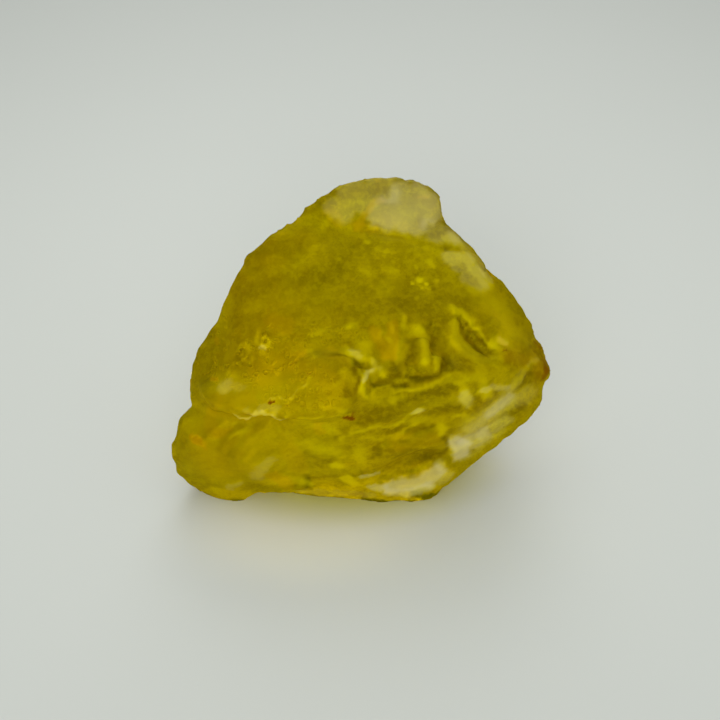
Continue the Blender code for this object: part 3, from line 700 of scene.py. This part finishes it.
def wear_tree(material):
    """Etched pits, sand-worn grain and flow bands that follow the surface."""
    tree = bpy.data.node_groups.new("wear", "GeometryNodeTree")
    for way in ("OUTPUT", "INPUT"):
        tree.interface.new_socket("Geometry", in_out=way, socket_type="NodeSocketGeometry")
    for name in WEAR_INPUTS:
        tree.interface.new_socket(name, in_out="INPUT", socket_type="NodeSocketFloat")
    given = add(tree, "NodeGroupInput").outputs
    place = add(tree, "GeometryNodeInputPosition")
    mask = {
        name: add(tree, "GeometryNodeInputNamedAttribute", {"data_type": "FLOAT"}, {"Name": name})
        for name in ("pitted", "grainy", "flowing")
    }
    closeness = {
        name: add(tree, "ShaderNodeMath", {"operation": "DIVIDE"}, {0: 1.0, 1: given[name + " Spacing"]})
        for name in ("Pit", "Grain", "Flow")
    }

    # Pits: round bowls at the middles of uneven cells, the fewest deepest.
    cells = add(
        tree, "ShaderNodeTexVoronoi", {"voronoi_dimensions": "4D", "feature": "F1"},
        {"Vector": place, "W": given["Seed"], "Scale": closeness["Pit"]},
    )
    pit = add(
        tree, "ShaderNodeMapRange", {"interpolation_type": "SMOOTHERSTEP"},
        {"Value": cells.outputs["Distance"], "From Max": 0.42, "To Min": 1.0, "To Max": 0.0},
    )
    chance = add(tree, "ShaderNodeSeparateXYZ", None, {0: cells.outputs["Color"]})
    rare = add(tree, "ShaderNodeMath", {"operation": "POWER"}, {0: chance, 1: 2.0})
    for factor in (rare, given["Pit Depth"], mask["pitted"]):
        pit = add(tree, "ShaderNodeMath", {"operation": "MULTIPLY"}, {0: pit, 1: factor})

    # Grain: fine uneven wear. Flow: soft bands drawn out along the way the glass once ran.
    rise = None
    for name, where, vector, detail, roughness, distortion in (
        ("Grain", "grainy", place, 2.5, 0.55, 0.0),
        ("Flow", "flowing", along_flow(tree, place, (0.22, 0.8, 1.0)), 1.5, 0.5, 0.3),
    ):
        level = add(
            tree, "ShaderNodeTexNoise", {"noise_dimensions": "4D"},
            {
                "Vector": vector, "W": given["Seed"], "Scale": closeness[name], "Detail": detail,
                "Roughness": roughness, "Distortion": distortion,
            },
        )
        level = add(tree, "ShaderNodeMath", {"operation": "SUBTRACT"}, {0: level, 1: 0.5})
        for factor in (given[name + " Height"], mask[where]):
            level = add(tree, "ShaderNodeMath", {"operation": "MULTIPLY"}, {0: level, 1: factor})
        rise = add(tree, "ShaderNodeMath", {"operation": "ADD"}, {0: rise, 1: level}) if rise else level
    rise = add(tree, "ShaderNodeMath", {"operation": "SUBTRACT"}, {0: rise, 1: pit})

    normal = add(tree, "GeometryNodeInputNormal")
    shift = add(tree, "ShaderNodeVectorMath", {"operation": "SCALE"}, {0: normal, "Scale": rise})
    kept = add(
        tree, "GeometryNodeStoreNamedAttribute", {"data_type": "FLOAT", "domain": "POINT"},
        {"Geometry": given["Geometry"], "Name": "wear", "Value": rise},
    )
    moved = add(tree, "GeometryNodeSetPosition", None, {"Geometry": kept, "Offset": shift})
    real = add(tree, "GeometryNodeRealizeInstances", None, {"Geometry": moved})
    done = add(tree, "GeometryNodeSetMaterial", None, {"Geometry": real, "Material": material})
    add(tree, "NodeGroupOutput", None, {0: done})
    return tree


def weather(piece, material, settings):
    """Runs the wear tree over the piece and keeps its result as a plain mesh."""
    run = piece.modifiers.new("wear", "NODES")
    run.node_group = wear_tree(material)
    for item in run.node_group.interface.items_tree:
        if item.item_type == "SOCKET" and item.in_out == "INPUT" and item.name in WEAR_INPUTS:
            run[item.identifier] = float(getattr(settings, item.name.lower().replace(" ", "_")))
    apply_modifiers(piece)


def desert_glass_etched(settings):
    """Libyan desert glass, sand-blasted and etched: nearly pure silica glass, clear and yellow right
    through, with a fine frosted skin. Light goes deep in and comes out golden, thin parts are pale,
    thick parts dark olive. Its colour also carries painted shade in dark olive and painted light in bright
    yellow."""
    made = bpy.data.materials.new("desert_glass_etched")
    tree = empty_tree(made)
    place = add(tree, "ShaderNodeTexCoord").outputs["Object"]
    drawn = along_flow(tree, place, (0.18, 0.7, 1.0))
    mask = {
        name: add(tree, "ShaderNodeAttribute", {"attribute_name": name}).outputs["Fac"]
        for name in ("milky", "light", "olive_tone_and_painted_shade", "gold", "rust", "fresh", "bubbled", "wear")
    }

    # Noise of a size in mm, as a mask from 0 to 1 between two of its levels: flow streaks and wider
    # bands, cloudy patches 3 mm across, mottling 0.5 mm across, sand-worn grit 0.2 mm across and fine
    # wrinkles 0.9 mm apart.
    pattern = {}
    for name, kind, vector, size, low, high, detail, roughness, distortion in (
        ("streaked", "FBM", drawn, 0.55, 0.46, 0.62, 3.0, 0.55, 0.5),
        ("banded", "FBM", drawn, 0.9, 0.50, 0.64, 3.0, 0.55, 0.5),
        ("cloudy", "FBM", place, 3.2, 0.42, 0.68, 3.0, 0.55, 0.0),
        ("mottled", "FBM", place, 0.5, 0.44, 0.66, 3.0, 0.6, 0.0),
        ("gritty", "FBM", place, 0.2, 0.40, 0.66, 2.0, 0.55, 0.0),
        ("wrinkled", "RIDGED_MULTIFRACTAL", place, 0.9, 0.62, 0.92, 3.0, 0.55, 0.4),
    ):
        level = add(
            tree, "ShaderNodeTexNoise", {"noise_type": kind},
            {
                "Vector": vector, "Scale": 1 / (size * MM), "Detail": detail, "Roughness": roughness,
                "Distortion": distortion,
            },
        )
        pattern[name] = add(
            tree, "ShaderNodeMapRange", {"interpolation_type": "SMOOTHSTEP"},
            {"Value": level, "From Min": low, "From Max": high},
        )

    # Wear is weaker where the glass is fresh.
    worn = add(tree, "ShaderNodeMath", {"operation": "MULTIPLY_ADD"}, {0: mask["fresh"], 1: -0.7, 2: 1.0})
    gritty, mottled, wrinkled = (
        add(tree, "ShaderNodeMath", {"operation": "MULTIPLY"}, {0: pattern[name], 1: worn})
        for name in ("gritty", "mottled", "wrinkled")
    )

    # Burst bubbles 0.6 mm apart: bowls with thin rims, with painted shade in the bowls and painted
    # highlights on the rims.
    swirl = add(tree, "ShaderNodeTexNoise", None, {"Vector": place, "Scale": 1 / (0.5 * MM), "Detail": 1.0})
    swirl = add(
        tree, "ShaderNodeVectorMath", {"operation": "SCALE"}, {0: swirl.outputs["Color"], "Scale": 0.35 * MM}
    )
    swirl = add(tree, "ShaderNodeVectorMath", {"operation": "ADD"}, {0: place, 1: swirl})
    bubble = add(tree, "ShaderNodeTexVoronoi", {"feature": "F1"}, {"Vector": swirl, "Scale": 1 / (0.6 * MM)})
    inside, outside, bowl = (
        add(
            tree, "ShaderNodeMapRange", {"interpolation_type": "SMOOTHSTEP"},
            {"Value": bubble.outputs["Distance"], "From Min": start, "From Max": end},
        )
        for start, end in ((0.24, 0.34), (0.50, 0.38), (0.26, 0.10))
    )
    rim = add(tree, "ShaderNodeMath", {"operation": "MULTIPLY"}, {0: inside, 1: outside})
    rim, bowl = (
        add(tree, "ShaderNodeMath", {"operation": "MULTIPLY"}, {0: part, 1: mask["bubbled"]})
        for part in (rim, bowl)
    )
    # Painted shade where the wear has sunk the surface.
    shade_in_sunk_wear = add(
        tree, "ShaderNodeMapRange", None,
        {"Value": mask["wear"], "From Min": 0.02 * MM, "From Max": -0.06 * MM},
    )

    # Tints laid one over another: where, how strongly, and which. The olive tint is random tone in clouds,
    # bands and grit, and painted shade in the marked dark places, in sunk wear and in bubble bowls. The
    # light tint is random tone in streaks, mottling and wrinkles, and painted light in the marked bright
    # places and on bubble rims.
    tint = (*settings.glass, 1.0)
    for where, share, name in (
        (pattern["cloudy"], 0.28, "olive_tone_and_painted_shade"), (pattern["banded"], 0.40, "olive_tone_and_painted_shade"),
        (pattern["streaked"], 0.45, "light"), (shade_in_sunk_wear, 0.50, "olive_tone_and_painted_shade"), (mask["olive_tone_and_painted_shade"], 1.0, "olive_tone_and_painted_shade"),
        (gritty, 0.30, "olive_tone_and_painted_shade"), (mottled, 0.45, "light"), (bowl, 0.55, "olive_tone_and_painted_shade"), (rim, 0.60, "light"),
        (mask["light"], 1.0, "light"), (mask["gold"], 1.0, "gold"), (mask["milky"], 1.0, "milky"),
        (wrinkled, 0.35, "light"), (mask["rust"], 1.0, "rust"),
    ):
        amount = add(tree, "ShaderNodeMath", {"operation": "MULTIPLY"}, {0: where, 1: share})
        tint = add(
            tree, "ShaderNodeMix", {"data_type": "RGBA", "clamp_factor": True},
            {0: amount, 6: tint, 7: (*getattr(settings, name), 1.0)},
        ).outputs[2]

    # How far the glass is see-through, how rough its skin is, and how much of it desert varnish
    # covers: a thin yellow film all over, worn off where the glass is frosted.
    bare = add(tree, "ShaderNodeMath", {"operation": "POWER"}, {0: mask["milky"], 1: 0.6})
    levels = []
    for level, changes in (
        (
            0.90,
            (
                (mask["olive_tone_and_painted_shade"], 0.09), (mask["light"], -0.20), (mask["milky"], -0.45), (mask["gold"], -0.08),
                (mask["rust"], -0.55),
            ),
        ),
        (0.38, ((mask["milky"], 0.15), (pattern["mottled"], 0.06), (mask["fresh"], -0.07))),
        (0.95, ((bare, -0.95),)),
    ):
        for where, change in changes:
            level = add(
                tree, "ShaderNodeMath", {"operation": "MULTIPLY_ADD"}, {0: where, 1: change, 2: level}
            )
        levels.append(level)
    see_through, frosting, varnished = levels

    # Bubble rims, and a sand-blasted skin of bumps about 0.14 mm across.
    froth = add(tree, "ShaderNodeMath", {"operation": "SUBTRACT"}, {0: rim, 1: bowl})
    fine = add(tree, "ShaderNodeTexNoise", None, {"Vector": place, "Scale": 1 / (0.14 * MM), "Detail": 2.0})
    skin = add(tree, "ShaderNodeBump", None, {"Strength": 0.8, "Distance": 0.06 * MM, "Height": froth})
    skin = add(
        tree, "ShaderNodeBump", None,
        {"Strength": 0.25, "Distance": 0.03 * MM, "Height": fine, "Normal": skin},
    )
    glass = add(
        tree, "ShaderNodeBsdfPrincipled", None,
        {
            "Base Color": tint, "Roughness": frosting, "IOR": 1.46, "Transmission Weight": see_through,
            "Specular Tint": (*linear("#FFF300"), 1.0), "Normal": skin, "Coat Weight": varnished,
            "Coat IOR": 1.0, "Coat Roughness": 0.8, "Coat Tint": (*linear("#FFFE27"), 1.0),
        },
    )
    depth = add(
        tree, "ShaderNodeVolumeAbsorption", None, {"Color": (*linear("#F1ED00"), 1.0), "Density": 200.0}
    )
    add(tree, "ShaderNodeOutputMaterial", None, {"Surface": glass, "Volume": depth})
    return made


def painted_board_matt(settings):
    """Matt painted board, with a painted pool of light and a painted yellow glow and shadow near the glass,
    where light comes through it.
    """
    made = bpy.data.materials.new("painted_board_matt")
    tree = empty_tree(made)
    place = add(tree, "ShaderNodeTexCoord").outputs["Object"]
    faint = add(tree, "ShaderNodeTexNoise", None, {"Vector": place, "Scale": 1 / (60 * MM), "Detail": 2.0})

    # The paint is up to 3% darker in faint patches 60 mm across. Over that are painted the light that comes
    # through the glass and the glass's shadow: a lighter painted pool of light in front of it, and a darker,
    # deep yellow painted glow and shadow close to its edge. Each is full over an oval of the floor, given by
    # its middle and half widths in mm, and is gone at so many times its size.
    layers = [(faint, tuple(0.97 * c for c in settings.floor))]
    for colour, (x, y), (wide, long), end in (
        (settings.pool, (-4.5, -9.5), (2.8, 2.0), 4.4),
        (settings.painted_glow_and_shadow, (-1.2, -2.7), (5.3, 3.0), 2.75),
    ):
        from_middle = add(
            tree, "ShaderNodeMapping", {"vector_type": "TEXTURE"},
            {"Vector": place, "Location": (x * MM, y * MM, 0.0), "Scale": (wide * MM, long * MM, 1.0)},
        )
        away = add(tree, "ShaderNodeVectorMath", {"operation": "LENGTH"}, {0: from_middle})
        painted_light_share = add(
            tree, "ShaderNodeMapRange", {"interpolation_type": "SMOOTHSTEP"},
            {
                "Value": away.outputs["Value"], "From Min": 1.0, "From Max": end, "To Min": 1.0,
                "To Max": 0.0,
            },
        )
        layers.append((painted_light_share, colour))
    shade = (*settings.floor, 1.0)
    for where, colour in layers:
        shade = add(
            tree, "ShaderNodeMix", {"data_type": "RGBA"}, {0: where, 6: shade, 7: (*colour, 1.0)}
        ).outputs[2]
    board = add(tree, "ShaderNodeBsdfPrincipled", None, {"Base Color": shade, "Roughness": 0.75})
    add(tree, "ShaderNodeOutputMaterial", None, {"Surface": board})
    return made


class GLASS_OT_fragment(bpy.types.Operator):
    """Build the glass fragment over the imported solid"""

    bl_idname = "desert_glass.fragment"
    bl_label = "Glass fragment"

    def execute(self, context):
        settings = context.scene.desert_glass
        noise.seed_set(settings.seed)
        piece = fine_copy(settings.mesh_size)
        co, _ = mesh_arrays(piece.data)
        soften(piece, paint(hit_tree(piece.data, co), co, CREASES))

        # The sides that the eye doesn't see get scoops up to 0.4 mm deep, smaller ones up to 0.2 mm
        # deep, and ledges of 0.14 mm, cut from 0.12 mm above the solid.
        co, normal = mesh_arrays(piece.data)
        tree = hit_tree(piece.data, co)
        unseen = step_between((normal * np.array(EYE_LINE)).sum(1), -0.15, 0.15)
        cut = 0.40 * step_between(patches(co, 2.6, 5.0), 0.1, 0.9)
        cut += 0.20 * step_between(patches(co, 1.1, 9.0), 0.2, 0.9)
        cut += 0.14 * step_between(patches(co * (1.0, 1.0, 2.2), 3.4, 3.0), -0.06, 0.06)
        height = carve(tree, ragged(co, 1.0), co, normal) + unseen * MM * (0.12 - cut)
        lifted = co + normal * height[:, None]

        # The marks, as masks that the wear tree and the glass's material read by name.
        marked = ragged(co, 1.5)
        masks = {}
        for name, rows, strength, stretch, size, shift, low, high in TINTS:
            there = step_between(patches(marked * stretch, size, shift), low, high)
            masks[name] = (paint(tree, marked, rows) + unseen * strength * there).clip(0, 1)
        fresh = paint(tree, marked, SMOOTH)
        masks["fresh"] = fresh
        masks["bubbled"] = paint(tree, marked, BUBBLES)
        masks["pitted"] = 1 - 0.8 * fresh
        masks["grainy"] = (1 - 0.8 * fresh) * (0.55 + 0.6 * paint(tree, marked, ROUGH))
        masks["flowing"] = 1 - 0.5 * fresh
        for name, values in masks.items():
            made = piece.data.attributes.new(name, "FLOAT", "POINT")
            made.data.foreach_set("value", values.astype(np.float32))
        piece.data.vertices.foreach_set("co", lifted.astype(np.float32).ravel())
        piece.data.update()

        # Nothing may stand out of the solid's own box.
        material = desert_glass_etched(settings)
        weather(piece, material, settings)
        co, _ = mesh_arrays(piece.data)
        co = co.clip(np.array(LOW), np.array(HIGH))
        piece.data.vertices.foreach_set("co", co.astype(np.float32).ravel())
        piece.data.materials.clear()
        piece.data.materials.append(material)
        piece.data.shade_smooth()
        piece.data.update()
        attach(piece, "root")
        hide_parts("desert_glass")
        return {"FINISHED"}


class GLASS_OT_stage(bpy.types.Operator):
    """Set out the floor, the soft lights and the camera"""

    bl_idname = "desert_glass.stage"
    bl_label = "Floor, lights and camera"

    def execute(self, context):
        settings = context.scene.desert_glass_stage
        scene = context.scene
        mesh = bpy.data.meshes.new("floor")
        mesh.from_pydata([(-2, -2, 0), (2, -2, 0), (2, 2, 0), (-2, 2, 0)], [], [(0, 1, 2, 3)])
        mesh.materials.append(painted_board_matt(settings))
        floor = bpy.data.objects.new("floor", mesh)
        scene.collection.objects.link(floor)

        scene.world = bpy.data.worlds.new("room")
        tree = empty_tree(scene.world)
        sky = add(
            tree, "ShaderNodeBackground", None,
            {"Color": (*settings.room, 1.0), "Strength": settings.room_light},
        )
        add(tree, "ShaderNodeOutputWorld", None, {"Surface": sky})

        # Soft square lamps that look at the fragment: name, place in m, side in m, power, spread.
        look_at = Vector((0, 0, 8 * MM))
        for name, place, size, power, spread in (
            ("main_lamp", (-0.01, 0.03, 0.16), 0.14, settings.key_power, 90),
            ("back_lamp", (0.0, 0.20, 0.15), 0.18, settings.back_power, 70),
            ("front_lamp", (-0.03, -0.24, 0.10), 0.24, settings.front_power, 60),
        ):
            lamp = bpy.data.lights.new(name, "AREA")
            lamp.energy = power
            lamp.size = size
            lamp.spread = math.radians(spread)
            held = bpy.data.objects.new(name, lamp)
            held.location = place
            held.rotation_euler = (look_at - Vector(place)).to_track_quat("-Z", "Y").to_euler()
            scene.collection.objects.link(held)

        camera = bpy.data.cameras.new("camera")
        camera.lens = settings.lens
        camera.sensor_width = 36
        camera.clip_start = 0.001
        held = bpy.data.objects.new("camera", camera)
        held.location = EYE
        held.rotation_euler = EYE_LINE.to_track_quat("-Z", "Y").to_euler()
        scene.collection.objects.link(held)
        scene.camera = held
        scene.view_settings.view_transform = "Standard"
        return {"FINISHED"}


class GLASS_PT_panel(bpy.types.Panel):
    """Lists the pieces and the stage"""

    bl_idname = "GLASS_PT_panel"
    bl_label = "Desert Glass"
    bl_space_type = "VIEW_3D"
    bl_region_type = "UI"
    bl_category = "Desert Glass"

    def draw(self, context):
        for owner, operator in (
            (context.scene.desert_glass, GLASS_OT_fragment),
            (context.scene.desert_glass_stage, GLASS_OT_stage),
        ):
            box = self.layout.box()
            box.operator(operator.bl_idname)
            for name in owner.__annotations__:
                box.prop(owner, name)


CLASSES = (GlassSettings, StageSettings, GLASS_OT_fragment, GLASS_OT_stage, GLASS_PT_panel)


def register():
    for kind in CLASSES:
        bpy.utils.register_class(kind)
    bpy.types.Scene.desert_glass = bpy.props.PointerProperty(type=GlassSettings)
    bpy.types.Scene.desert_glass_stage = bpy.props.PointerProperty(type=StageSettings)


def unregister():
    del bpy.types.Scene.desert_glass_stage
    del bpy.types.Scene.desert_glass
    for kind in reversed(CLASSES):
        bpy.utils.unregister_class(kind)


def main():
    register()
    bpy.ops.desert_glass.stage()
    bpy.ops.desert_glass.fragment()


if __name__ == "__main__":
    main()
